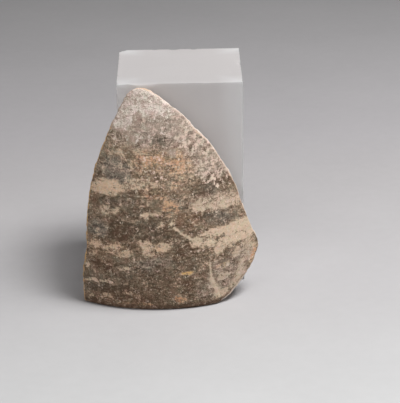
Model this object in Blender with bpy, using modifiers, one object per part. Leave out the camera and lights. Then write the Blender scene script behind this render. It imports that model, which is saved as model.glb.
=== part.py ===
"""Museum display block with a leaning potsherd.

Two loose pieces stand on a table: an upright block of frosted acrylic, and a rim fragment of a
clay bowl that stands upside down on its own lip and leans back against the block's front face.

Frame: metres, +Z up, origin at the centre of the block's underside. The front is -Y.
"""

import math

import bmesh
import bpy

MM = 0.001

# Display block: a square bar on end.
BLOCK_SIDE = 38.0 * MM
BLOCK_HEIGHT = 64.0 * MM
BLOCK_EDGE_RADIUS = 0.6 * MM

# The bowl that the sherd broke from, upside down: its wall is turned about a vertical axis.
BOWL_AXIS_X = -6.7 * MM
BOWL_AXIS_Y = -3.4 * MM
LIP_RADIUS = 39.0 * MM
WALL_THICKNESS = 4.2 * MM
WALL_HEIGHT = 64.3 * MM
WALL_DROP = 18.7 * MM  # how much nearer to the axis the wall stands at WALL_HEIGHT
WALL_CURVE = 1.7  # power of the profile: 1 is a straight cone, 2 a parabola

# The sherd's outline on the bowl's wall: degrees round the axis from the front, positive to the
# right, and millimetres above the table. The first and last points are the two ends of the lip.
OUTLINE = (
    (-37.3, 0.0),
    (-38.8, 9.8),
    (-37.8, 16.0),
    (-40.0, 28.5),
    (-40.4, 37.8),
    (-37.9, 46.5),
    (-32.4, 55.6),
    (-24.8, 62.5),
    (-14.8, 64.2),
    (-4.2, 63.1),
    (9.3, 59.7),
    (22.4, 54.9),
    (26.7, 51.8),
    (31.0, 50.1),
    (38.9, 43.3),
    (45.6, 34.5),
    (47.5, 28.0),
    (51.0, 20.2),
    (53.8, 15.2),
    (49.4, 10.9),
    (41.7, 6.7),
    (33.9, 2.6),
    (30.2, 0.0),
)
BREAK_WEAR = 0.6 * MM  # rounding of the worn edges of the breaks
OUTLINE_STEPS = 4  # straight lengths between two points of the outline

# The lip is rounded off on both sides, down to a flat strip that the sherd stands on.
LIP_ROUND = 1.6 * MM
LIP_FLAT = 0.55  # width of that strip, as a share of the wall's thickness
LIP_CUTS = (0.25 * MM, 0.6 * MM, 1.1 * MM, LIP_ROUND)

CUT_SPACING = 4.0 * MM  # largest facet of the rolled wall
CUT_SNAP = 0.2 * MM  # a cut goes through a corner that is this close to it
WELD = 0.01 * MM


def make_material(name, color, roughness, transmission=0.0):
    """A Principled material; it is see-through as far as transmission is above 0."""
    material = bpy.data.materials.new(name)
    material.use_nodes = True
    shader = material.node_tree.nodes["Principled BSDF"]
    shader.inputs["Base Color"].default_value = (*color, 1.0)
    shader.inputs["Roughness"].default_value = roughness
    shader.inputs["Metallic"].default_value = 0.0
    shader.inputs["Transmission Weight"].default_value = transmission
    material.diffuse_color = (*color, 1.0)
    return material


def make_block(collection):
    """A cube with softened edges, standing on the table."""
    mesh = bpy.data.meshes.new("display_block")
    shape = bmesh.new()
    bmesh.ops.create_cube(shape, size=1.0)
    bmesh.ops.scale(shape, vec=(BLOCK_SIDE, BLOCK_SIDE, BLOCK_HEIGHT), verts=shape.verts)
    bmesh.ops.translate(shape, vec=(0.0, 0.0, BLOCK_HEIGHT / 2), verts=shape.verts)
    shape.to_mesh(mesh)
    shape.free()
    block = bpy.data.objects.new("display_block", mesh)
    collection.objects.link(block)
    edge = block.modifiers.new("softened edges", "BEVEL")
    edge.width = BLOCK_EDGE_RADIUS
    edge.segments = 3
    edge.limit_method = "ANGLE"
    frosted_acrylic = make_material(
        "frosted acrylic", color=(0.62, 0.61, 0.60), roughness=0.5, transmission=0.5
    )
    mesh.materials.append(frosted_acrylic)
    return block


def outline_slab():
    """The sherd unrolled flat: X along the lip, Y up the wall, Z out of the wall's outer face."""
    curve = bpy.data.curves.new("sherd_outline", "CURVE")
    curve.dimensions = "2D"
    curve.fill_mode = "BOTH"
    curve.resolution_u = OUTLINE_STEPS
    curve.extrude = WALL_THICKNESS / 2 - BREAK_WEAR
    curve.bevel_depth = BREAK_WEAR
    curve.bevel_resolution = 1
    curve.offset = -BREAK_WEAR
    spline = curve.splines.new("BEZIER")
    spline.bezier_points.add(len(OUTLINE) - 1)
    spline.use_cyclic_u = True
    for point, (degrees, height) in zip(spline.bezier_points, OUTLINE):
        point.co = (math.radians(degrees) * LIP_RADIUS, height * MM, 0.0)
        point.handle_left_type = "AUTO"
        point.handle_right_type = "AUTO"
    # The lip is straight between its two ends, which are corners.
    for corner in (spline.bezier_points[0], spline.bezier_points[-1]):
        corner.handle_left_type = "VECTOR"
        corner.handle_right_type = "VECTOR"

    guide = bpy.data.objects.new("sherd_outline", curve)
    bpy.context.scene.collection.objects.link(guide)
    bpy.context.view_layer.update()
    evaluated = guide.evaluated_get(bpy.context.evaluated_depsgraph_get())
    mesh = bpy.data.meshes.new_from_object(evaluated)
    bpy.data.objects.remove(guide)
    return mesh


def cut(shape, axis, place):
    """Add an edge loop round the slab where it crosses a plane."""
    point = [0.0, 0.0, 0.0]
    point[axis] = place
    normal = [0.0, 0.0, 0.0]
    normal[axis] = 1.0
    geometry = shape.verts[:] + shape.edges[:] + shape.faces[:]
    bmesh.ops.bisect_plane(shape, geom=geometry, dist=CUT_SNAP, plane_co=point, plane_no=normal)


def cut_places(low, high):
    """Evenly spaced places between two ends, at most CUT_SPACING apart."""
    count = math.ceil((high - low) / CUT_SPACING)
    return [low + (high - low) * i / count for i in range(1, count)]


def wall_radius(height):
    """Radius of the bowl's outer face at a height above the table."""
    return LIP_RADIUS - WALL_DROP * (max(height, 0.0) / WALL_HEIGHT) ** WALL_CURVE


def wall_slope(height):
    """How much nearer to the axis the outer face comes for each metre of height."""
    share = max(height, 0.0) / WALL_HEIGHT
    return WALL_DROP * WALL_CURVE / WALL_HEIGHT * share ** (WALL_CURVE - 1.0)


def lip_width(height):
    """Share of the wall's thickness that the rounded lip leaves at a height."""
    if height >= LIP_ROUND:
        return 1.0
    rise = 1.0 - max(height, 0.0) / LIP_ROUND
    return LIP_FLAT + (1.0 - LIP_FLAT) * math.sqrt(1.0 - rise * rise)


def roll(vertex):
    """Carry a vertex of the flat slab to its place on the bowl's wall, square to the outer face."""
    angle = vertex.co.x / LIP_RADIUS
    height = vertex.co.y
    inward = WALL_THICKNESS / 2 - vertex.co.z * lip_width(height)
    slope = wall_slope(height)
    length = math.sqrt(1.0 + slope * slope)
    radius = wall_radius(height) - inward / length
    vertex.co.x = BOWL_AXIS_X + radius * math.sin(angle)
    vertex.co.y = BOWL_AXIS_Y - radius * math.cos(angle)
    vertex.co.z = height - inward * slope / length


def make_sherd(collection):
    """The flat outline, cut into small facets and rolled onto the bowl's wall."""
    mesh = outline_slab()
    mesh.name = "sherd"
    shape = bmesh.new()
    shape.from_mesh(mesh)
    bmesh.ops.remove_doubles(shape, verts=shape.verts, dist=WELD)
    left = min(v.co.x for v in shape.verts)
    right = max(v.co.x for v in shape.verts)
    top = max(v.co.y for v in shape.verts)
    for place in cut_places(left, right):
        cut(shape, 0, place)
    for place in list(LIP_CUTS) + cut_places(LIP_ROUND, top):
        cut(shape, 1, place)
    bmesh.ops.triangulate(shape, faces=shape.faces)
    for vertex in shape.verts:
        roll(vertex)
    bmesh.ops.recalc_face_normals(shape, faces=shape.faces)
    shape.to_mesh(mesh)
    shape.free()
    mesh.shade_smooth()
    mesh.set_sharp_from_angle(angle=math.radians(35))
    slipped_clay = make_material(
        "worn dark slip on clay", color=(0.19, 0.145, 0.11), roughness=0.85
    )
    mesh.materials.clear()
    mesh.materials.append(slipped_clay)
    sherd = bpy.data.objects.new("sherd", mesh)
    collection.objects.link(sherd)
    return sherd


def main():
    for old in list(bpy.data.objects):
        bpy.data.objects.remove(old)
    collection = bpy.data.collections.new("display_block_with_sherd")
    bpy.context.scene.collection.children.link(collection)
    make_block(collection)
    make_sherd(collection)


main()
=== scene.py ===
"""Looks for the display block with its leaning potsherd.

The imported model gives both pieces' shape and place. This script refines them: the sherd gets its
chipped breaks, wheel marks, pits and worn slip, and the block its frosted faces and worn edges.
Lengths are in millimetres where a comment doesn't say metres; Blender's objects are in metres.
Colours are written as on a colour chart, 0 to 255.
"""

import math

import bmesh
import bpy
import numpy as np
from mathutils import Matrix, Vector, kdtree, noise

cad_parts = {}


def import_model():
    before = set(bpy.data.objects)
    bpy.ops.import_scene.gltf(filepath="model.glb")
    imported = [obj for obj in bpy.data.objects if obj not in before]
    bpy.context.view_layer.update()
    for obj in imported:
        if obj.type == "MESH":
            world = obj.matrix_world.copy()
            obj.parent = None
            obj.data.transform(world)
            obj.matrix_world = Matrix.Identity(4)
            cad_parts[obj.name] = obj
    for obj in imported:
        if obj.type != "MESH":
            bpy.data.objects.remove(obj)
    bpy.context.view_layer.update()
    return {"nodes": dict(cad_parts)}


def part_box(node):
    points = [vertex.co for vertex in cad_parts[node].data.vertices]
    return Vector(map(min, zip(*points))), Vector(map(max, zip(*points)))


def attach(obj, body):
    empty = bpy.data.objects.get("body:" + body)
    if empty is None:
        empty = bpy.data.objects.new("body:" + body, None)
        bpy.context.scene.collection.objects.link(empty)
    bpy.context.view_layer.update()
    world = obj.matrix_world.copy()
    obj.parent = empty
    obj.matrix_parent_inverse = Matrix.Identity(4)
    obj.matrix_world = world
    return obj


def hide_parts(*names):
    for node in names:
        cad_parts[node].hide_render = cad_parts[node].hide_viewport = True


MM = 0.001

# The bowl's wall, as the model has it: turned about a vertical axis, upside down on its lip.
BOWL_AXIS_X = -6.7
BOWL_AXIS_Y = -3.4
LIP_RADIUS = 39.0
WALL_HEIGHT = 64.3
WALL_DROP = 18.7
WALL_CURVE = 1.7
LIP_ROUND = 1.6
LIP_ENDS = (-37.3, 30.2)  # degrees round the axis

# The sherd's fine surface: the size of its faces, then heights and depths of what they show.
SHERD_VOXEL = 0.305
BREAK_COARSE = 0.34  # height of the steps on the breaks
BREAK_GRIT = 0.14
BREAK_LOSS = 0.05  # how far the breaks are worn back as a whole
CHIP_DEPTH = 0.35
WHEEL_MARKS = 0.07
SWELL = 0.16
SKIN = 0.035
PIT_DEPTH = 0.14
FLAKE_DEPTH = 0.22
INNER_MARKS = 0.16
INNER_SKIN = 0.05
LIP_END_REACH = 3.0  # the lip's right end is rounded off over this length
LIP_END_WEAR = 1.1
LIP_END_LIFT = 0.6
BLOCK_HALF_SIDE = 19.0
BLOCK_CLEARANCE = 0.22  # the sherd's back stays this far in front of the block
BLOCK_MARGIN = 0.6  # and does so this far past the block's sides

# How far the edges of the painted patches wander round the wall and up it, and what share of
# that the lines do.
PATCH_WANDER = (1.3, 0.55)
LINE_WANDER = 0.3

# How the painted patches add up to the slip's wear and to the clay's baring, and how painted shade
# along the lip takes wear off. The clay's orange counts by its own share of what pale clay does.
SLIP_WEAR_AND_SHADE = {
    "base": 0.38,
    "pale": 0.5,
    "orange_share": 0.75,
    "tone": 1.0,
    "dark": -0.30,
    "scuffed": -0.17,
    "rim": 0.95,
    # painted shade along the lip
    "foot_shade": -0.55,
}
CLAY_BARING_AND_SHADE = {
    "base": 0.30,
    "pale": 0.66,
    "orange_share": 0.72,
    "tone": 0.5,
    "dark": -0.25,
    "scuffed": -0.11,
    "rim": 1.1,
    # painted shade along the lip
    "foot_shade": -0.5,
}
DUST_AND_SHEEN_OFF_DARK = 0.75  # share of the dust and painted sheen that the dark spots are free of

# The block's fine surface.
BLOCK_CUTS = 48
BLOCK_CHAMFER = 0.2
EDGE_LIGHT_REACH = (0.3, 9.0)  # painted light: the base colour is lightest at the upright edges and fades over this distance
EDGE_WEAR_REACH = 1.2
NICK_DEPTH = 0.5
NICK_SIZE = 3.0
NICK_START = 0.15  # noise below this leaves the edge whole
CORNER_REACH = 2.4
CORNER_WEAR = 0.9
BLOCK_FOOT = 1.0  # the edges on the table stay sharp up to this height
ACRYLIC_CLEAR = 0.57  # share of the light that goes in
ACRYLIC_BASE = (236, 232, 231)
# The colour at the upright edges: painted light, for light that comes in through the side faces.
ACRYLIC_EDGE_LIGHT = (255, 254, 254)

# The slip, from slate over brown to rust: dark where it is thick, paler where it is thin.
DARK_SLIP = ((88, 79, 71), (84, 69, 54), (88, 67, 51))
THIN_SLIP = ((160, 148, 134), (157, 137, 115), (158, 131, 107))
# Bare clay, from cream to orange, and its ochre stain.
BARE_CLAY = ((212, 191, 168), (218, 186, 157), (203, 153, 116))
OCHRE_CLAY = (219, 179, 112)
SCUFF = (212, 197, 180)
WIDE_SCUFF = (234, 213, 197)
# The whitish film and its clumps: partly dust, partly a painted sheen high on the sherd.
DUST_AND_SHEEN_FILM = (179, 163, 152)
DUST_AND_SHEEN_CLUMP = (224, 213, 206)
BROKEN_CLAY = ((196, 164, 132), (226, 205, 180), (240, 228, 212))
BREAK_OCHRE = (190, 148, 104)
BREAK_CHALK = (240, 232, 227)
INNER_CLAY = ((156, 124, 98), (188, 158, 130))
INNER_STREAK = (128, 102, 80)
# Tints that the outer face's colours are multiplied by.
OLIVE_TINT = (0.94, 0.98, 0.90, 1.0)
PINK_TINT = (1.05, 0.94, 0.94, 1.0)
MOTTLE = ((0.86, 0.86, 0.86, 1.0), (1.14, 1.14, 1.14, 1.0))

# The floor, in metres, and its tone on the way from front to back, paler in front and darker
# behind as painted light falloff: share of the way, colour.
FLOOR_SIZE = 6.0
FLOOR_FRONT = -0.12
FLOOR_BACK = 0.32
FLOOR_PAINTED_FALLOFF = (
    (0.0, (199, 199, 199)),
    (0.20, (184, 182, 183)),
    (0.45, (181, 178, 179)),
    (0.57, (176, 173, 175)),
    (1.0, (172, 170, 171)),
)
FLOOR_SHADE = ((0.96, 0.96, 0.96, 1.0), (1.04, 1.04, 1.04, 1.0))
WORLD_LIGHT = 0.05

# The camera; its place in metres, its angles in degrees.
CAMERA_TARGET = (0.0055, -0.0284, 0.0295)
CAMERA_DISTANCE = 0.600
CAMERA_ELEVATION = 20.0
CAMERA_YAW = 0.42
CAMERA_ROLL = -0.95
CAMERA_LENS = 177.7  # this and the sensor's width in millimetres
CAMERA_SENSOR = 36.0

# Patches on the outer face. Each row: place round the wall from its front (right is positive),
# height, half length, half height, tilt in degrees (right end up is positive), strength.
CREAM_PATCHES = (
    (8.0, 52.8, 1.3, 1.5, 0, 0.5),
    (14.5, 45.2, 2.2, 1.4, -10, 0.55),
    (17.8, 41.2, 0.9, 1.2, 0, 0.9),
    (12.8, 41.6, 1.8, 1.0, 0, 0.5),
    (10.2, 40.0, 1.0, 1.4, 0, 0.45),
    (-17.3, 41.0, 0.8, 2.4, 0, 0.5),
    (-10.8, 41.3, 0.8, 1.0, 0, 0.5),
    (-16.2, 35.9, 5.0, 2.2, 4, 1.0),
    (-6.5, 37.4, 5.8, 1.6, 0, 0.5),
    (18.0, 30.6, 9.5, 2.1, -4, 0.6),
    (12.3, 30.2, 2.2, 1.4, 0, 0.95),
    (-17.2, 29.0, 2.1, 1.2, 0, 0.6),
    (-13.4, 29.4, 1.6, 1.1, 0, 0.5),
    (-4.3, 28.5, 1.1, 1.0, 0, 0.7),
    (-1.6, 29.0, 1.8, 1.3, 0, 0.5),
    (0.4, 26.0, 0.9, 1.1, 0, 0.65),
    (3.4, 26.0, 0.9, 0.6, -20, 0.95),
    (18.0, 22.3, 5.0, 1.2, 4, 1.0),
    (25.5, 22.2, 5.5, 1.8, 6, 1.0),
    (31.0, 20.4, 2.8, 2.2, 30, 0.95),
    (11.2, 20.3, 2.2, 1.3, -10, 0.95),
    (14.5, 19.6, 2.8, 1.4, 0, 0.9),
    (23.0, 18.9, 6.5, 1.7, 6, 0.8),
    (-20.6, 19.1, 3.2, 1.3, 2, 0.66),
    (-15.6, 18.2, 3.6, 1.4, -14, 0.66),
    (-12.6, 17.9, 4.2, 1.7, -12, 0.6),
    (-10.0, 19.0, 13.0, 2.6, 0, 0.15),
    (29.5, 15.5, 3.0, 3.0, 0, 0.5),
    (-4.2, 19.9, 2.7, 1.6, -4, 0.92),
    (-0.2, 19.4, 3.2, 1.3, 0, 0.85),
    (-4.0, 17.5, 1.5, 1.2, 0, 0.8),
    (19.0, 17.0, 1.8, 1.6, 0, 0.75),
    (25.0, 15.0, 2.0, 1.3, 0, 0.65),
    (-23.4, 12.2, 1.0, 0.9, 0, 1.0),
    (-10.9, 12.6, 2.4, 0.6, 0, 0.55),
    (-20.2, 8.0, 4.2, 0.5, 3, 1.0),
    (-17.4, 3.3, 2.6, 1.0, 4, 0.55),
    (-10.6, 5.3, 1.9, 0.8, 0, 0.55),
    (25.6, 8.4, 4.6, 1.7, 61, 0.85),
    (19.6, 8.6, 2.2, 1.2, 0, 0.75),
    (19.6, 3.4, 2.5, 1.2, 12, 1.0),
)
DARK_PATCHES = (
    (0.4, 49.7, 2.3, 1.8, 0, 1.3),
    (-13.5, 41.0, 5.6, 3.0, 0, 0.4),
    (-15.0, 32.2, 6.0, 1.1, 3, 0.7),
    (19.0, 36.0, 6.5, 1.5, -4, 0.65),
    (15.2, 35.6, 2.9, 2.3, 0, 1.25),
    (18.0, 26.1, 7.5, 1.5, -4, 0.62),
    (-12.4, 23.8, 3.8, 3.2, 0, 0.9),
    (-2.5, 25.6, 2.2, 1.2, 0, 0.75),
    (-4.0, 23.0, 9.0, 1.4, 0, 0.5),
    (9.8, 23.0, 1.8, 0.9, -30, 0.6),
    (8.5, 17.5, 3.4, 2.4, -10, 0.55),
    (-17.6, 12.8, 3.4, 1.7, 0, 0.6),
    (-16.2, 6.0, 7.6, 1.2, 2, 0.95),
    (1.5, 12.5, 7.0, 2.5, 0, 0.3),
    (10.5, 10.0, 3.6, 4.0, 0, 0.45),
    (21.2, 15.0, 2.4, 1.2, 4, 0.8),
    (24.0, 11.6, 1.5, 1.2, 0, 0.6),
    (19.8, 6.2, 1.3, 1.0, 0, 0.6),
    (29.6, 18.6, 0.5, 1.9, 0, 0.5),
    (34.6, 17.2, 1.0, 1.6, 0, 0.7),
)
ORANGE_PATCHES = (
    (8.0, 52.8, 1.2, 1.5, 0, 0.35),
    (11.8, 52.0, 2.8, 1.3, -15, 0.5),
    (-11.6, 54.6, 1.4, 3.6, -28, 0.4),
    (-16.2, 35.9, 5.0, 2.2, 0, 0.42),
    (-2.0, 44.6, 5.0, 3.6, 0, 0.66),
    (6.0, 42.6, 3.4, 3.8, 0, 0.72),
    (5.2, 37.0, 1.6, 1.8, 0, 0.55),
    (3.6, 30.6, 2.6, 2.6, 0, 0.8),
    (-2.0, 33.8, 4.4, 0.8, -3, 0.62),
    (5.2, 3.3, 2.1, 1.3, 0, 1.0),
    (31.8, 12.0, 1.7, 2.3, -20, 1.0),
    (19.2, 12.0, 2.6, 0.8, 12, 0.55),
    (-6.0, 1.7, 7.0, 0.7, 0, 0.6),
    (-0.8, 19.2, 1.3, 1.0, 0, 0.4),
)
OCHRE_PATCHES = (
    (7.6, 11.3, 2.1, 0.55, 0, 0.9),
    (19.5, 12.0, 3.0, 0.7, 12, 0.5),
    (-6.0, 1.7, 9.0, 0.6, 0, 0.35),
)
RUST_PATCHES = (
    (-2.2, 35.0, 4.2, 1.5, 0, 0.9),
    (8.4, 26.6, 4.0, 2.3, 0, 1.0),
    (-6.2, 42.0, 2.6, 3.2, 0, 0.5),
    (-21.5, 32.0, 2.0, 2.0, 0, 0.6),
    (-17.6, 13.0, 4.0, 2.4, 0, 0.6),
    (1.0, 45.0, 6.5, 3.8, 0, 0.6),
    (7.5, 17.5, 4.0, 2.4, 0, 0.5),
    (22.0, 34.0, 4.0, 3.0, 0, 0.3),
    (-12.0, 22.5, 3.0, 3.0, 0, 0.5),
    (-17.0, 18.5, 8.0, 2.6, 0, 0.9),
    (-3.0, 19.0, 5.0, 2.4, 0, 0.6),
    (-10.0, 3.0, 12.0, 3.0, 0, 0.7),
    (3.0, 8.0, 10.0, 6.0, 0, 0.35),
)
SLATE_PATCHES = (
    (-13.5, 41.0, 5.6, 3.4, 0, 0.8),
    (-12.8, 31.6, 5.0, 1.4, 3, 0.4),
    (0.0, 56.0, 12.0, 6.0, 0, 0.5),
    (18.0, 26.0, 8.0, 1.7, -4, 0.5),
    (-20.0, 23.6, 3.6, 2.3, 0, 0.8),
    (0.4, 49.6, 2.2, 1.8, 0, 0.6),
    (15.4, 35.4, 2.6, 2.2, 0, 0.4),
    (-1.0, 13.0, 5.0, 3.0, 0, 0.35),
)
# Partly dust, partly painted sheen: the whitish film high up near the tip stands in for light
# falling on the top.
DUST_AND_SHEEN_PATCHES = (
    (-1.0, 62.0, 12.0, 7.0, 0, 0.82),
    (0.0, 54.0, 16.0, 7.0, 0, 0.45),
    (8.0, 60.5, 7.0, 2.4, -25, 0.95),
    (17.0, 45.0, 9.0, 7.0, -40, 0.36),
    (20.0, 9.0, 6.0, 5.5, 0, 0.3),
    (-11.5, 57.0, 5.0, 5.5, 0, 0.84),
    (18.0, 31.0, 9.0, 3.0, -4, 0.22),
    (-1.7, 59.7, 2.2, 2.4, 0, 0.9),
    (3.2, 58.2, 1.1, 0.9, 0, 1.0),
    (-7.9, 55.5, 0.7, 0.9, 0, 0.95),
    (-0.9, 56.0, 1.2, 0.35, 63, 0.95),
    (12.0, 57.0, 6.0, 3.0, -20, 0.8),
    (-9.2, 49.8, 0.7, 0.4, 0, 1.0),
    (-6.2, 49.4, 0.5, 0.7, 0, 1.0),
    (4.0, 46.0, 1.4, 1.1, 0, 0.5),
    (25.0, 50.0, 6.0, 5.0, -40, 0.45),
    (-13.0, 41.0, 4.5, 3.0, 0, 0.12),
    (-1.5, 14.2, 5.0, 2.0, 0, 0.22),
    (14.0, 5.5, 4.0, 3.0, 0, 0.25),
    (27.0, 12.0, 3.2, 6.0, -24, 0.3),
)
# Broad shifts of the slip's tone, partly painted light: the lighter patches high on the left make
# up for light that the lamps give too little of there. Each row: place round the wall, height,
# half length, half height, strength (lighter is positive).
SLIP_TONES_AND_PAINTED_LIGHT = (
    (20.0, 42.0, 8.0, 9.0, 0.08),
    (31.0, 22.0, 5.0, 12.0, 0.16),
    (22.0, 8.5, 7.5, 7.0, 0.2),
    (-13.0, 51.0, 5.0, 6.0, 0.19),
    (-10.0, 57.0, 4.0, 4.5, 0.24),
    (-10.0, 44.0, 8.0, 5.0, 0.08),
    (1.0, 38.0, 8.0, 4.0, 0.06),
    (-6.0, 23.0, 12.0, 6.0, -0.2),
    (-8.0, 7.0, 14.0, 6.0, -0.2),
    (-2.0, 2.0, 16.0, 2.5, -0.12),
    (-4.0, 31.0, 6.0, 4.0, -0.08),
    (7.5, 28.0, 4.0, 3.0, -0.06),
    (7.0, 42.0, 4.0, 4.0, 0.12),
    (-1.5, 44.5, 5.0, 3.5, 0.08),
    (17.5, 27.0, 7.0, 3.0, 0.1),
    (3.0, 14.0, 8.0, 8.0, -0.02),
    (13.0, 34.5, 6.0, 3.0, -0.06),
)
# Where the face is scuffed hardest, in rows as above.
SCUFFED_PATCHES = (
    (10.0, 50.0, 9.0, 5.0, -40, 1.15),
    (18.0, 41.5, 7.0, 6.0, -45, 1.25),
    (2.0, 55.0, 8.0, 6.0, 0, 0.8),
    (-13.0, 53.0, 3.5, 5.0, 0, 0.6),
    (1.0, 43.0, 7.0, 5.0, 0, 0.55),
    (17.0, 30.0, 8.0, 4.0, 0, 0.5),
    (24.0, 10.0, 6.0, 7.0, 0, 0.5),
    (8.0, 18.0, 4.0, 4.0, 0, 0.4),
)
# Lines: the points they run through, half width, strength.
CREAM_LINES = (
    (((4.4, 25.0), (6.0, 23.4), (8.1, 21.9), (10.9, 20.5)), 0.32, 1.0),
    (((15.4, 13.2), (15.3, 10.5), (16.0, 8.0)), 0.3, 0.75),
    (((16.0, 8.0), (17.4, 5.5), (18.8, 3.4)), 0.75, 0.9),
    (((-12.2, 47.0), (-9.9, 44.0), (-7.9, 41.8)), 0.12, 0.6),
)
# The flake that came off the lower right: its edge steps down from the slip on the left.
FLAKE_EDGE = ((15.3, 13.6), (15.2, 10.5), (15.9, 8.0), (17.2, 5.4), (18.2, 2.4))


# ---- the wall's own coordinates ----


def wall_radius(height):
    """Radius of the outer face at a height."""
    share = np.clip(height, 0.0, None) / WALL_HEIGHT
    return LIP_RADIUS - WALL_DROP * share**WALL_CURVE


def wall_lean(height):
    """How fast the wall comes in with height, as a slope."""
    share = np.clip(height, 0.0, None) / WALL_HEIGHT
    return WALL_DROP * WALL_CURVE / WALL_HEIGHT * share ** (WALL_CURVE - 1.0)


class WallPlaces:
    """Where each vertex lies on the bowl's wall."""

    def __init__(self, points):
        across = points[:, 0] - BOWL_AXIS_X
        toward = BOWL_AXIS_Y - points[:, 1]
        angle = np.arctan2(across, toward)
        radius = np.hypot(across, toward)
        self.degrees = np.degrees(angle)
        # The depth is measured square to the wall, so the height is that of the outer face there.
        # A few steps settle it.
        self.up = points[:, 2]
        for _ in range(4):
            slope = wall_lean(self.up)
            gap = (wall_radius(self.up) - radius) / (1.0 + slope * slope)
            self.up = points[:, 2] + gap * slope
        length = np.sqrt(1.0 + slope * slope)
        self.depth = gap * length
        self.around = angle * wall_radius(self.up)
        self.outward = np.stack(
            (np.sin(angle) / length, -np.cos(angle) / length, slope / length), axis=1
        )


def smooth(low, high, value):
    """0 below low, 1 above high, and a smooth step between them."""
    share = np.clip((value - low) / (high - low), 0.0, 1.0)
    return share * share * (3.0 - 2.0 * share)


def fractal(points, size, octaves=3, seed=0.0):
    """Cloudy noise between about -1 and 1, with features of a size."""
    scaled = points / size + seed
    return np.array([noise.fractal(p, 1.0, 2.0, octaves) for p in map(Vector, scaled)])


def wheel_marks(wall, spacing, length, seed):
    """Rings round the bowl, as turning leaves them: noise drawn out along the wall."""
    places = zip(wall.up / spacing, wall.around / length)
    return np.array([noise.noise(Vector((up, around, seed))) for up, around in places])


def patch_cover(patches, around, up):
    """How much of each place the patches cover, 0 to their strength."""
    cover = np.zeros(len(around))
    for x, z, half_length, half_height, tilt, strength in patches:
        turn = math.radians(tilt)
        along = (around - x) * math.cos(turn) + (up - z) * math.sin(turn)
        over = (up - z) * math.cos(turn) - (around - x) * math.sin(turn)
        reach = np.sqrt((along / half_length) ** 2 + (over / half_height) ** 2)
        cover = np.maximum(cover, strength * (1.0 - smooth(0.6, 1.45, reach)))
    return cover


def line_cover(lines, around, up):
    """How much of each place the lines cover, 0 to their strength."""
    cover = np.zeros(len(around))
    for line, half_width, strength in lines:
        near = line_distance(line, around, up)
        fade = 1.0 - smooth(half_width * 0.6, half_width * 2.0, near)
        cover = np.maximum(cover, strength * fade)
    return cover


def broad_tone(around, up):
    """The sum of the broad, soft patches of lighter and darker slip, the lighter ones high on the
    left being painted light.
    """
    total = np.zeros(len(around))
    for x, z, half_length, half_height, strength in SLIP_TONES_AND_PAINTED_LIGHT:
        reach = ((around - x) / half_length) ** 2 + ((up - z) / half_height) ** 2
        total += strength * np.exp(-0.7 * reach)
    return total


def line_distance(line, around, up):
    """Distance from each place to a line through points."""
    nearest = np.full(len(around), 1e9)
    for (x0, z0), (x1, z1) in zip(line, line[1:]):
        dx, dz = x1 - x0, z1 - z0
        share = ((around - x0) * dx + (up - z0) * dz) / (dx * dx + dz * dz)
        share = np.clip(share, 0.0, 1.0)
        nearest = np.minimum(
            nearest, np.hypot(around - x0 - share * dx, up - z0 - share * dz)
        )
    return nearest


# ---- mesh helpers ----


def vertex_positions(mesh):
    values = np.zeros(len(mesh.vertices) * 3, np.float32)
    mesh.vertices.foreach_get("co", values)
    return values.reshape(-1, 3).astype(float)


def vertex_normals(mesh):
    values = np.zeros(len(mesh.vertices) * 3, np.float32)
    mesh.vertex_normals.foreach_get("vector", values)
    return values.reshape(-1, 3).astype(float)


def set_positions(mesh, positions):
    mesh.vertices.foreach_set("co", positions.astype(np.float32).ravel())
    mesh.update()


def set_attribute(mesh, name, values):
    """Store one number, or one vector, for each vertex."""
    kind = "FLOAT" if values.ndim == 1 else "FLOAT_VECTOR"
    attribute = mesh.attributes.new(name, kind, "POINT")
    field = "value" if values.ndim == 1 else "vector"
    attribute.data.foreach_set(field, values.astype(np.float32).ravel())


def dense_copy(node, name, voxel):
    """A new object with the node's shape in small even faces."""
    piece = bpy.data.objects.new(name, node.data.copy())
    piece.data.name = name
    bpy.context.scene.collection.objects.link(piece)
    weld = piece.modifiers.new("weld", "WELD")
    weld.merge_threshold = 0.01 * MM
    remesh = piece.modifiers.new("remesh", "REMESH")
    remesh.mode = "VOXEL"
    remesh.voxel_size = voxel * MM
    bpy.context.view_layer.update()
    evaluated = piece.evaluated_get(bpy.context.evaluated_depsgraph_get())
    mesh = bpy.data.meshes.new_from_object(evaluated)
    piece.modifiers.clear()
    piece.data = mesh
    mesh.name = name
    mesh.shade_smooth()
    mesh.materials.clear()
    return piece


# ---- the sherd's shape ----


def broken_mask(wall, facing):
    """1 on the breaks, which stand square to the wall, and 0 on both faces and the whole lip."""
    broken = 1.0 - smooth(0.5, 0.85, np.abs(facing))
    in_lip = (wall.up < LIP_ROUND + 0.4) & (wall.degrees > LIP_ENDS[0] + 0.6)
    in_lip &= wall.degrees < LIP_ENDS[1] - 0.4
    broken[in_lip] = 0.0
    return broken


def break_distance(positions, broken):
    """Distance from each vertex to the nearest one on a break."""
    marked = np.nonzero(broken > 0.6)[0]
    tree = kdtree.KDTree(len(marked))
    for i in marked:
        tree.insert(positions[i], int(i))
    tree.balance()
    return np.array([tree.find(p)[2] for p in positions])


def break_relief(positions):
    """Coarse steps and grit."""
    coarse = fractal(positions, size=3.2, seed=11.0)
    grit = fractal(positions, size=0.8, seed=23.0)
    return BREAK_COARSE * coarse + BREAK_GRIT * grit - BREAK_LOSS


def chips(wall, positions, to_break):
    """Chips along the outer edge of the breaks, wider on the upper right: 1 at their deepest."""
    right = smooth(-4.0, 6.0, wall.around)
    reach = 0.5 + 0.5 * right + 0.5 * fractal(positions, size=2.4, octaves=2, seed=31.0)
    return np.clip(1.0 - to_break / np.clip(reach, 0.15, None), 0.0, 1.0)


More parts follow.
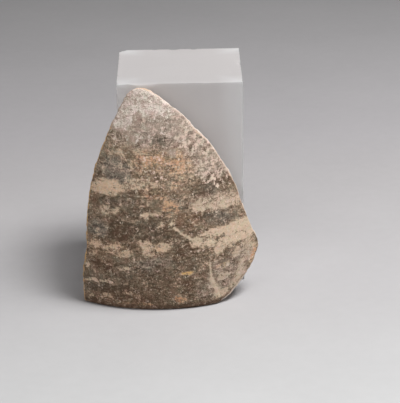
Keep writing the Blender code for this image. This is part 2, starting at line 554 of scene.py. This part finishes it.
def outer_relief(wall, positions, skin):
    """Faint wheel rings, a hand-smoothed swell, a fine skin and pits."""
    rings = wheel_marks(wall, spacing=1.9, length=40.0, seed=7.0)
    swell = fractal(positions, size=14.0, octaves=2, seed=41.0)
    pits = smooth(0.42, 0.75, fractal(positions, size=1.5, octaves=2, seed=61.0))
    return WHEEL_MARKS * rings + SWELL * swell + SKIN * skin - PIT_DEPTH * pits


def flake_scar(wall):
    """1 where the flake came off, right of its edge, fading to the far side and the top."""
    heights = [z for _, z in FLAKE_EDGE[::-1]]
    edges = [x for x, _ in FLAKE_EDGE[::-1]]
    past_edge = wall.around - np.interp(wall.up, heights, edges)
    scar = smooth(0.0, 0.45, past_edge) * (1.0 - smooth(9.0, 13.0, past_edge))
    return scar * (1.0 - smooth(12.2, 13.4, wall.up))


def inner_relief(wall, skin):
    """Deeper wheel marks, as the potter's fingers leave them."""
    marks = wheel_marks(wall, spacing=2.8, length=60.0, seed=19.0)
    return INNER_MARKS * marks + INNER_SKIN * skin


def round_lip_end(positions, wall):
    """Wear off the corner between the lip and the break at its right end."""
    end = math.radians(LIP_ENDS[1]) * LIP_RADIUS
    wear = np.clip(1.0 - np.hypot(wall.around - end, wall.up) / LIP_END_REACH, 0.0, 1.0)
    angle = np.radians(wall.degrees)
    positions[:, 0] -= LIP_END_WEAR * wear * np.cos(angle)
    positions[:, 1] -= LIP_END_WEAR * wear * np.sin(angle)
    positions[:, 2] += LIP_END_LIFT * wear


def keep_off_block(positions):
    """Hold the place that leans on the block a hair in front of it."""
    over_block = np.abs(positions[:, 0]) < BLOCK_HALF_SIDE + BLOCK_MARGIN
    front = -(BLOCK_HALF_SIDE + BLOCK_CLEARANCE)
    positions[over_block, 1] = np.minimum(positions[over_block, 1], front)


def sculpt_sherd(mesh):
    """Give the sherd its fine shape, then the masks that its material reads."""
    positions = vertex_positions(mesh) / MM
    normals = vertex_normals(mesh)
    wall = WallPlaces(positions)
    facing = np.einsum("ij,ij->i", normals, wall.outward)
    broken = broken_mask(wall, facing)
    to_break = break_distance(positions, broken)
    outer = smooth(0.3, 0.8, facing)
    inner = smooth(0.3, 0.8, -facing)
    skin = fractal(positions, size=1.1, seed=53.0)

    shift = broken * break_relief(positions)
    shift -= outer * (1.0 - broken) * CHIP_DEPTH * chips(wall, positions, to_break)
    shift += outer * outer_relief(wall, positions, skin)
    shift -= outer * FLAKE_DEPTH * flake_scar(wall)
    shift += inner * inner_relief(wall, skin)
    # The foot stays on the table.
    shift *= smooth(0.0, 0.5, wall.up)

    moved = positions + normals * shift[:, None]
    round_lip_end(moved, wall)
    keep_off_block(moved)
    set_positions(mesh, moved * MM)
    paint_sherd(mesh, wall, positions, facing, broken, to_break)


def worn_rim(wall, positions, to_break):
    """1 on the pale worn rims of the breaks, which are wider towards both sides."""
    width = 0.45 + 0.45 * smooth(0.0, 8.0, wall.around) + 0.5 * smooth(8.0, 14.0, -wall.around)
    width += 0.25 * fractal(positions, size=1.6, seed=91.0)
    return 1.0 - smooth(0.4, 1.0, to_break / np.clip(width, 0.2, None))


def wear_and_shade_mask(weights, masks):
    """Add up how worn each place is, with painted shade along the lip taking wear off."""
    pale = np.maximum(masks["pale"], weights["orange_share"] * masks["orange"])
    wear = weights["base"] + weights["pale"] * pale
    for name in ("tone", "dark", "scuffed"):
        wear += weights[name] * masks[name]
    return np.maximum(wear, weights["rim"] * masks["rim"]) + weights["foot_shade"] * masks["foot_shade"]


def paint_sherd(mesh, wall, positions, facing, broken, to_break):
    """Soft masks for the material: where the slip is worn, the tints of slip and clay, and painted
    shade along the lip.
    """
    # Patch edges wander, as brushed and worn slip does; the lines wander less.
    bend_x = PATCH_WANDER[0] * fractal(positions, size=3.0, seed=71.0)
    bend_z = PATCH_WANDER[1] * fractal(positions, size=2.0, seed=83.0)
    around = wall.around + bend_x
    up = wall.up + bend_z
    line_around = wall.around + LINE_WANDER * bend_x
    line_up = wall.up + LINE_WANDER * bend_z
    lines = line_cover(CREAM_LINES, line_around, line_up)
    cream = np.maximum(patch_cover(CREAM_PATCHES, around, up), lines)
    dark = patch_cover(DARK_PATCHES, around, up)
    orange = patch_cover(ORANGE_PATCHES, around, up)
    ochre = patch_cover(OCHRE_PATCHES, around, up)
    rust = patch_cover(RUST_PATCHES, around, up)
    slate = patch_cover(SLATE_PATCHES, around, up)
    scuffed = patch_cover(SCUFFED_PATCHES, around, up)
    # Dust, and a painted sheen high up near the tip, kept off the dark spots.
    dust_and_sheen = patch_cover(DUST_AND_SHEEN_PATCHES, around, up)
    dust_and_sheen *= 1.0 - DUST_AND_SHEEN_OFF_DARK * np.minimum(dark, 1.0)

    rim = worn_rim(wall, positions, to_break)
    left_edge = rim * (1.0 - smooth(-12.0, -6.0, wall.around))
    # Painted shade along the lip: less wear, and browner slip and clay, up to 2.4 mm above the
    # table, where the wall curves under.
    foot_shade = 1.0 - smooth(0.6, 2.4, wall.up)
    masks = {
        "pale": np.maximum(cream, ochre),
        "orange": orange,
        "tone": broad_tone(around, up),
        "dark": dark,
        "scuffed": scuffed,
        "rim": rim,
        "foot_shade": foot_shade,
    }
    # The lip's painted shade also makes the slip and clay browner here.
    warm = np.clip(0.12 + 0.8 * orange + 0.25 * rust - 0.2 * cream + 0.3 * foot_shade, 0.0, 1.0)
    slip_tint = np.clip(0.5 + 0.5 * rust - 0.5 * slate + 0.4 * foot_shade, 0.0, 1.0)

    set_attribute(mesh, "worn_with_shade", np.clip(wear_and_shade_mask(SLIP_WEAR_AND_SHADE, masks), 0.0, 1.0))
    set_attribute(mesh, "bare_with_shade", np.clip(wear_and_shade_mask(CLAY_BARING_AND_SHADE, masks), 0.0, 1.1))
    set_attribute(mesh, "warm", np.maximum(warm, left_edge))
    set_attribute(mesh, "ochre", np.maximum(ochre, left_edge))
    set_attribute(mesh, "slip_tint", slip_tint)
    set_attribute(mesh, "dust_and_sheen", dust_and_sheen)
    set_attribute(mesh, "scuffed", scuffed)
    set_attribute(mesh, "right_side", smooth(-8.0, 6.0, wall.around))
    set_attribute(mesh, "outer", smooth(0.1, 0.5, facing))
    set_attribute(mesh, "broken", broken)
    set_attribute(mesh, "wall", np.stack((wall.around, wall.up, wall.depth), axis=1))


# ---- materials ----


def chart(color):
    """A colour as on a colour chart, 0 to 255, as Blender's linear RGBA."""
    linear = []
    for value in color:
        share = value / 255
        linear.append(share / 12.92 if share <= 0.04045 else ((share + 0.055) / 1.055) ** 2.4)
    return (*linear, 1.0)


class Nodes:
    """A short way to write a material's node tree."""

    def __init__(self, name):
        self.material = bpy.data.materials.new(name)
        self.material.use_nodes = True
        self.tree = self.material.node_tree
        self.shader = self.tree.nodes["Principled BSDF"]

    def add(self, kind, **settings):
        node = self.tree.nodes.new(kind)
        for name, value in settings.items():
            setattr(node, name, value)
        return node

    def feed(self, socket, value):
        """Link an output to a socket, or set the socket to a plain value."""
        if isinstance(value, bpy.types.NodeSocket):
            self.tree.links.new(value, socket)
        else:
            socket.default_value = value

    def shade(self, name, value):
        """Feed one of the shader's own sockets."""
        self.feed(self.shader.inputs[name], value)

    def attribute(self, name, output="Fac"):
        return self.add("ShaderNodeAttribute", attribute_name=name).outputs[output]

    def object_place(self):
        """The place in the object's own coordinates, in metres."""
        return self.add("ShaderNodeTexCoord").outputs["Object"]

    def math(self, operation, a, b=0.0, clamp=False):
        node = self.add("ShaderNodeMath", operation=operation, use_clamp=clamp)
        self.feed(node.inputs[0], a)
        self.feed(node.inputs[1], b)
        return node.outputs[0]

    def remap(self, value, low, high, to_low=0.0, to_high=1.0, smooth_step=False):
        node = self.add("ShaderNodeMapRange")
        if smooth_step:
            node.interpolation_type = "SMOOTHSTEP"
        self.feed(node.inputs["Value"], value)
        self.feed(node.inputs["From Min"], low)
        self.feed(node.inputs["From Max"], high)
        self.feed(node.inputs["To Min"], to_low)
        self.feed(node.inputs["To Max"], to_high)
        return node.outputs["Result"]

    def stretch(self, vector, scale):
        node = self.add("ShaderNodeVectorMath", operation="MULTIPLY")
        self.feed(node.inputs[0], vector)
        self.feed(node.inputs[1], scale)
        return node.outputs[0]

    def cloud(self, vector, scale, detail=3.0, roughness=0.5):
        node = self.add("ShaderNodeTexNoise")
        self.feed(node.inputs["Vector"], vector)
        self.feed(node.inputs["Scale"], scale)
        self.feed(node.inputs["Detail"], detail)
        self.feed(node.inputs["Roughness"], roughness)
        return node.outputs["Fac"]

    def unit(self, value, spread):
        """Centre a noise on 0 and divide it by its spread, so that 1 is one standard deviation."""
        centred = self.math("SUBTRACT", value, 0.5)
        return self.math("DIVIDE", centred, spread)

    def mix(self, factor, a, b):
        node = self.add("ShaderNodeMix", data_type="RGBA")
        self.feed(node.inputs["Factor"], factor)
        self.feed(node.inputs["A"], a)
        self.feed(node.inputs["B"], b)
        return node.outputs["Result"]

    def ramp(self, value, stops):
        """A colour for each value, between stops of (value, chart colour)."""
        node = self.add("ShaderNodeValToRGB")
        self.feed(node.inputs["Fac"], value)
        points = node.color_ramp.elements
        while len(points) < len(stops):
            points.new(0.5)
        for point, (place, color) in zip(points, stops):
            point.position = place
            point.color = chart(color)
        return node.outputs["Color"]

    def add_up(self, base, *terms):
        """The base plus each value times its weight."""
        total = base
        for value, weight in terms:
            total = self.math("ADD", total, self.math("MULTIPLY", value, weight))
        return total

    def tinted(self, color, tint):
        """A colour multiplied by a tint."""
        node = self.add("ShaderNodeMix", data_type="RGBA", blend_type="MULTIPLY")
        self.feed(node.inputs["Factor"], 1.0)
        self.feed(node.inputs["A"], color)
        self.feed(node.inputs["B"], tint)
        return node.outputs["Result"]

    def bump(self, height, distance_m, strength):
        node = self.add("ShaderNodeBump")
        self.feed(node.inputs["Height"], height)
        self.feed(node.inputs["Distance"], distance_m)
        self.feed(node.inputs["Strength"], strength)
        return node.outputs["Normal"]


class SherdNoises:
    """The noises that the sherd's colours share, from broad drifts down to 0.15 mm grains."""

    def __init__(self, n):
        self.n = n
        self.wall = n.attribute("wall", "Vector")
        self.streaks = n.stretch(self.wall, (0.75, 1.0, 1.0))
        brushed = n.stretch(self.wall, (0.22, 1.5, 1.0))
        # Some places are smooth and others busy.
        busy = n.cloud(self.wall, scale=0.27, detail=2.0, roughness=0.5)
        busy = n.remap(busy, 0.36, 0.64, 0.55, 1.4)
        grain = n.unit(n.cloud(self.streaks, scale=0.42, detail=4.0, roughness=0.97), 0.052)
        fleck = n.unit(n.cloud(self.wall, scale=1.3, detail=3.0, roughness=0.95), 0.06)
        self.grain = n.math("MULTIPLY", grain, busy)
        self.fleck = n.math("MULTIPLY", fleck, busy)
        self.fine = n.unit(n.cloud(self.wall, scale=3.1, detail=1.0, roughness=0.8), 0.08)
        self.brush = n.unit(n.cloud(brushed, scale=0.8, detail=3.0, roughness=0.7), 0.07)
        # These three are left as they come, about 0.5.
        self.broad = n.cloud(self.wall, scale=0.12, detail=2.0, roughness=0.5)
        self.hue = n.cloud(self.streaks, scale=0.55, detail=4.0, roughness=0.8)
        self.core = n.cloud(self.wall, scale=1.4, detail=5.0, roughness=0.65)

    def speckled(self, base, **weights):
        """The base plus the named noises, each times its weight."""
        return self.n.add_up(base, *((getattr(self, name), w) for name, w in weights.items()))


def slip_color(n, noises):
    """Slip that is thin in places, and lets some clay through, with painted shade along the lip.
    """
    tint = n.math("ADD", n.attribute("slip_tint"), n.remap(noises.broad, 0.3, 0.7, -0.18, 0.18))
    tint = n.math("ADD", tint, n.remap(noises.hue, 0.3, 0.7, -0.3, 0.3))
    places = (0.0, 0.5, 1.0)
    dark = n.ramp(tint, tuple(zip(places, DARK_SLIP)))
    thin = n.ramp(tint, tuple(zip(places, THIN_SLIP)))
    worn_with_shade = n.attribute("worn_with_shade")
    worn_with_shade = noises.speckled(worn_with_shade, grain=0.16, fleck=0.11, brush=0.08, fine=0.05)
    return n.mix(n.remap(worn_with_shade, -0.04, 0.88), dark, thin)


def bare_cover(n, noises):
    """Where clay is bare: flecks nearly everywhere, and whole patches where the mask is high."""
    bare_with_shade = n.attribute("bare_with_shade")
    bare_with_shade = noises.speckled(bare_with_shade, grain=0.15, fleck=0.10, brush=0.05, fine=0.04)
    bare_with_shade = n.remap(bare_with_shade, 0.46, 0.82, smooth_step=True)
    # Specks of slip are left standing on it.
    speck = n.cloud(noises.wall, scale=2.1, detail=3.0, roughness=0.85)
    speck = n.remap(speck, 0.575, 0.66, 0.0, 0.7, smooth_step=True)
    return n.math("SUBTRACT", bare_with_shade, speck, clamp=True)


def clay_color(n, noises):
    """Bare clay: cream, orange where it is warm, and stained ochre here and there."""
    warm = noises.speckled(n.attribute("warm"), grain=0.10)
    clay = n.ramp(warm, tuple(zip((0.0, 0.45, 1.0), BARE_CLAY)))
    return n.mix(n.attribute("ochre"), clay, chart(OCHRE_CLAY))


def add_scuffs(n, noises, color):
    """Small pale scuffs all over, and wider ones where the face is scuffed hardest."""
    small = n.cloud(noises.streaks, scale=1.25, detail=3.0, roughness=0.9)
    small = n.add_up(small, (n.attribute("worn_with_shade"), 0.10))
    small = n.remap(small, 0.61, 0.70, 0.0, 0.9, smooth_step=True)
    color = n.mix(small, color, chart(SCUFF))
    wide = n.cloud(noises.wall, scale=0.55, detail=4.0, roughness=0.8)
    wide = n.add_up(wide, (n.attribute("scuffed"), 0.10))
    wide = n.remap(wide, 0.615, 0.665, 0.0, 0.9, smooth_step=True)
    return n.mix(wide, color, chart(WIDE_SCUFF))


def add_dust_and_sheen(n, noises, color):
    """Whitish dust and painted sheen: a thin uneven film, then thicker clumps in it."""
    dust_and_sheen = n.attribute("dust_and_sheen")
    film = noises.speckled(dust_and_sheen, fleck=0.06, grain=0.08, fine=0.02)
    film = n.remap(film, -0.05, 0.75, 0.0, 0.86, smooth_step=True)
    color = n.mix(film, color, chart(DUST_AND_SHEEN_FILM))
    clump = noises.speckled(dust_and_sheen, fleck=0.13, grain=0.14, fine=0.06)
    clump = n.remap(clump, 0.62, 1.05, 0.0, 0.95, smooth_step=True)
    return n.mix(clump, color, chart(DUST_AND_SHEEN_CLUMP))


def vary_hue(n, noises, color):
    """Small shifts of hue, pinker here and more olive there, and a fine mottle."""
    tint = n.mix(n.remap(noises.hue, 0.35, 0.65), OLIVE_TINT, PINK_TINT)
    color = n.tinted(color, tint)
    mottle = noises.speckled(0.5, fine=0.13, fleck=0.12)
    return n.tinted(color, n.mix(mottle, *MOTTLE))


def break_color(n, noises):
    """Broken clay, ochre on the left and chalky on the right."""
    right_side = n.attribute("right_side")
    raw = n.ramp(noises.core, tuple(zip((0.25, 0.5, 0.75), BROKEN_CLAY)))
    raw = n.mix(n.remap(right_side, 0.0, 1.0, 0.7, 0.0), raw, chart(BREAK_OCHRE))
    return n.mix(n.math("MULTIPLY", right_side, 0.6), raw, chart(BREAK_CHALK))


def inner_color(n, noises):
    """The plain clay inside the bowl, with darker finger marks."""
    low, high = INNER_CLAY
    plain = n.mix(n.remap(noises.core, 0.3, 0.7), chart(low), chart(high))
    return n.mix(n.remap(noises.brush, -0.5, 1.5, 0.0, 0.5), plain, chart(INNER_STREAK))


def sherd_material():
    """Dark slip worn through to cream and orange clay, with dust, a painted sheen and painted
    shade along the lip, and pale breaks.
    """
    n = Nodes("worn_slip_on_clay")
    noises = SherdNoises(n)
    bare_with_shade = bare_cover(n, noises)
    color = n.mix(bare_with_shade, slip_color(n, noises), clay_color(n, noises))
    color = add_scuffs(n, noises, color)
    color = add_dust_and_sheen(n, noises, color)
    color = vary_hue(n, noises, color)
    color = n.mix(n.attribute("outer"), inner_color(n, noises), color)
    color = n.mix(n.attribute("broken"), color, break_color(n, noises))
    n.shade("Base Color", color)
    n.shade("Roughness", n.remap(bare_with_shade, 0.0, 1.0, 0.62, 0.88))
    n.shade("Specular IOR Level", 0.25)
    # Bare clay lies below the slip, and the flecks stand a little proud.
    fleck_relief = n.math("MULTIPLY", noises.fleck, 0.12)
    relief = n.math("SUBTRACT", fleck_relief, n.math("MULTIPLY", bare_with_shade, 0.5))
    n.shade("Normal", n.bump(relief, 0.1 * MM, 0.8))
    return n.material


def acrylic_material():
    """Solid acrylic with an even frost: some light scatters at its faces, and the rest goes in."""
    n = Nodes("frosted_acrylic")
    place = n.object_place()
    haze = n.cloud(place, scale=60.0, detail=3.0, roughness=0.5)
    frost_and_edge_light = n.cloud(place, scale=2600.0, detail=2.0, roughness=0.5)
    # Painted light: the base colour is lighter towards the upright edges, standing in for light
    # that comes in through the side faces.
    painted_edge_light = n.add_up(n.attribute("edge"), (n.unit(haze, 0.1), 0.08))
    color = n.mix(n.remap(painted_edge_light, 0.0, 1.0), chart(ACRYLIC_BASE), chart(ACRYLIC_EDGE_LIGHT))
    n.shade("Base Color", color)
    n.shade("Roughness", n.remap(haze, 0.3, 0.7, 0.5, 0.6))
    n.shade("IOR", 1.49)
    n.shade("Specular IOR Level", 0.35)
    n.shade("Transmission Weight", ACRYLIC_CLEAR)
    n.shade("Normal", n.bump(frost_and_edge_light, 0.02 * MM, 0.5))
    return n.material


def floor_material():
    """Studio floor with painted light falloff: a little paler in front of the object and darker
    far behind it.
    """
    n = Nodes("studio_floor")
    place = n.object_place()
    split = n.add("ShaderNodeSeparateXYZ")
    n.feed(split.inputs[0], place)
    tone = n.cloud(place, scale=18.0, detail=4.0, roughness=0.6)
    fibre = n.cloud(place, scale=260.0, detail=3.0, roughness=0.6)
    # Painted light falloff from front to back.
    color = n.ramp(n.remap(split.outputs["Y"], FLOOR_FRONT, FLOOR_BACK), FLOOR_PAINTED_FALLOFF)
    shade = n.add_up(0.5, (n.unit(tone, 0.1), 0.15), (n.unit(fibre, 0.1), 0.08))
    color = n.tinted(color, n.mix(shade, *FLOOR_SHADE))
    n.shade("Base Color", color)
    n.shade("Roughness", 0.75)
    n.shade("Specular IOR Level", 0.2)
    return n.material


# ---- pieces ----


def make_sherd(frame):
    sherd = dense_copy(frame["nodes"]["sherd"], "sherd_surface", SHERD_VOXEL)
    sculpt_sherd(sherd.data)
    sherd.data.materials.append(sherd_material())
    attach(sherd, "sherd")
    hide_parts("sherd")


def block_shape(low, high):
    """A box in small square faces, with chamfered edges; sizes in metres."""
    shape = bmesh.new()
    bmesh.ops.create_cube(shape, size=1.0)
    bmesh.ops.scale(shape, vec=high - low, verts=shape.verts)
    bmesh.ops.translate(shape, vec=(low + high) / 2, verts=shape.verts)
    bmesh.ops.subdivide_edges(
        shape, edges=list(shape.edges), cuts=BLOCK_CUTS, use_grid_fill=True
    )
    square = [edge for edge in shape.edges if edge.calc_face_angle() > 1.0]
    bmesh.ops.bevel(
        shape, geom=square, offset=BLOCK_CHAMFER * MM, segments=2, affect="EDGES", profile=0.6
    )
    return shape


def wear_block(shape, low, high):
    """Nick the edges and wear one corner. Returns how near each vertex is to an upright edge."""
    centre = (low + high) / 2
    half = (high - low) / 2
    worn_corner = Vector((low.x, high.y, high.z))
    frost_and_edge_light = []
    for vertex in shape.verts:
        gaps = [(half[i] - abs(vertex.co[i] - centre[i])) / MM for i in range(3)]
        # Nearness to an upright edge, where the material paints the base colour lighter.
        frost_and_edge_light.append(1.0 - float(smooth(*EDGE_LIGHT_REACH, max(gaps[0], gaps[1]))))
        # A vertex on an edge has two small gaps to the block's faces.
        wear = max(0.0, 1.0 - sorted(gaps)[1] / EDGE_WEAR_REACH)
        ripple = noise.fractal(vertex.co / (NICK_SIZE * MM), 1.0, 2.0, 3)
        nick = max(0.0, ripple - NICK_START) * NICK_DEPTH
        to_corner = (vertex.co - worn_corner).length / MM
        nick += max(0.0, 1.0 - to_corner / CORNER_REACH) * CORNER_WEAR
        if vertex.co.z > low.z + BLOCK_FOOT * MM:
            vertex.co += (centre - vertex.co).normalized() * wear * nick * MM
    return np.array(frost_and_edge_light)


def make_block():
    """A sawn and frosted bar: flat faces, and fine edges with small nicks and one worn corner."""
    low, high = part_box("display_block")
    shape = block_shape(low, high)
    frost_and_edge_light = wear_block(shape, low, high)
    mesh = bpy.data.meshes.new("block_surface")
    shape.to_mesh(mesh)
    shape.free()
    # Painted light: the material lightens the base colour near the upright edges.
    set_attribute(mesh, "edge", frost_and_edge_light)
    mesh.shade_smooth()
    mesh.set_sharp_from_angle(angle=math.radians(50))
    mesh.materials.append(acrylic_material())
    block = bpy.data.objects.new("block_surface", mesh)
    bpy.context.scene.collection.objects.link(block)
    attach(block, "block")
    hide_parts("display_block")


# ---- stage, in metres ----


def make_floor():
    bpy.ops.mesh.primitive_plane_add(size=FLOOR_SIZE, location=(0.0, 0.0, 0.0))
    floor = bpy.context.object
    floor.name = "studio_floor"
    floor.data.materials.append(floor_material())


def add_light(name, azimuth, elevation, distance, size, power, aim=(0.0, -0.02, 0.02)):
    """A square soft light, placed round the object: azimuth 0 is the front, 90 the right."""
    data = bpy.data.lights.new(name, "AREA")
    data.shape = "SQUARE"
    data.size = size
    data.energy = power
    light = bpy.data.objects.new(name, data)
    bpy.context.scene.collection.objects.link(light)
    a = math.radians(azimuth)
    e = math.radians(elevation)
    back = Vector((math.sin(a) * math.cos(e), -math.cos(a) * math.cos(e), math.sin(e)))
    light.location = Vector(aim) + back * distance
    light.rotation_mode = "QUATERNION"
    light.rotation_quaternion = back.to_track_quat("Z", "Y")


def make_lights():
    """Two key lights high on the right, and two wide, weak fills."""
    add_light("key", azimuth=62, elevation=67, distance=0.58, size=0.22, power=2.1)
    add_light("side_key", azimuth=94, elevation=65, distance=0.58, size=0.22, power=1.9)
    add_light(
        "front_fill",
        azimuth=-18,
        elevation=45,
        distance=0.9,
        size=0.7,
        power=2.3,
        aim=(0.0, -0.10, 0.0),
    )
    add_light("left_fill", azimuth=-60, elevation=20, distance=0.9, size=0.7, power=0.75)
    world = bpy.data.worlds.new("studio")
    bpy.context.scene.world = world
    world.use_nodes = True
    background = world.node_tree.nodes["Background"]
    background.inputs["Color"].default_value = (1.0, 1.0, 1.0, 1.0)
    background.inputs["Strength"].default_value = WORLD_LIGHT


def make_camera():
    data = bpy.data.cameras.new("camera")
    data.lens = CAMERA_LENS
    data.sensor_width = CAMERA_SENSOR
    camera = bpy.data.objects.new("camera", data)
    bpy.context.scene.collection.objects.link(camera)
    yaw = math.radians(CAMERA_YAW)
    down = math.radians(CAMERA_ELEVATION)
    look = Vector(
        (math.sin(yaw) * math.cos(down), math.cos(yaw) * math.cos(down), -math.sin(down))
    )
    upright = look.to_track_quat("-Z", "Y").to_matrix()
    roll = Matrix.Rotation(math.radians(CAMERA_ROLL), 3, "Z")
    camera.rotation_mode = "QUATERNION"
    camera.rotation_quaternion = (upright @ roll).to_quaternion()
    camera.location = Vector(CAMERA_TARGET) - look * CAMERA_DISTANCE
    bpy.context.scene.camera = camera


def main():
    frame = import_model()
    make_sherd(frame)
    make_block()
    make_floor()
    make_lights()
    make_camera()
    bpy.context.scene.view_settings.view_transform = "Standard"


main()
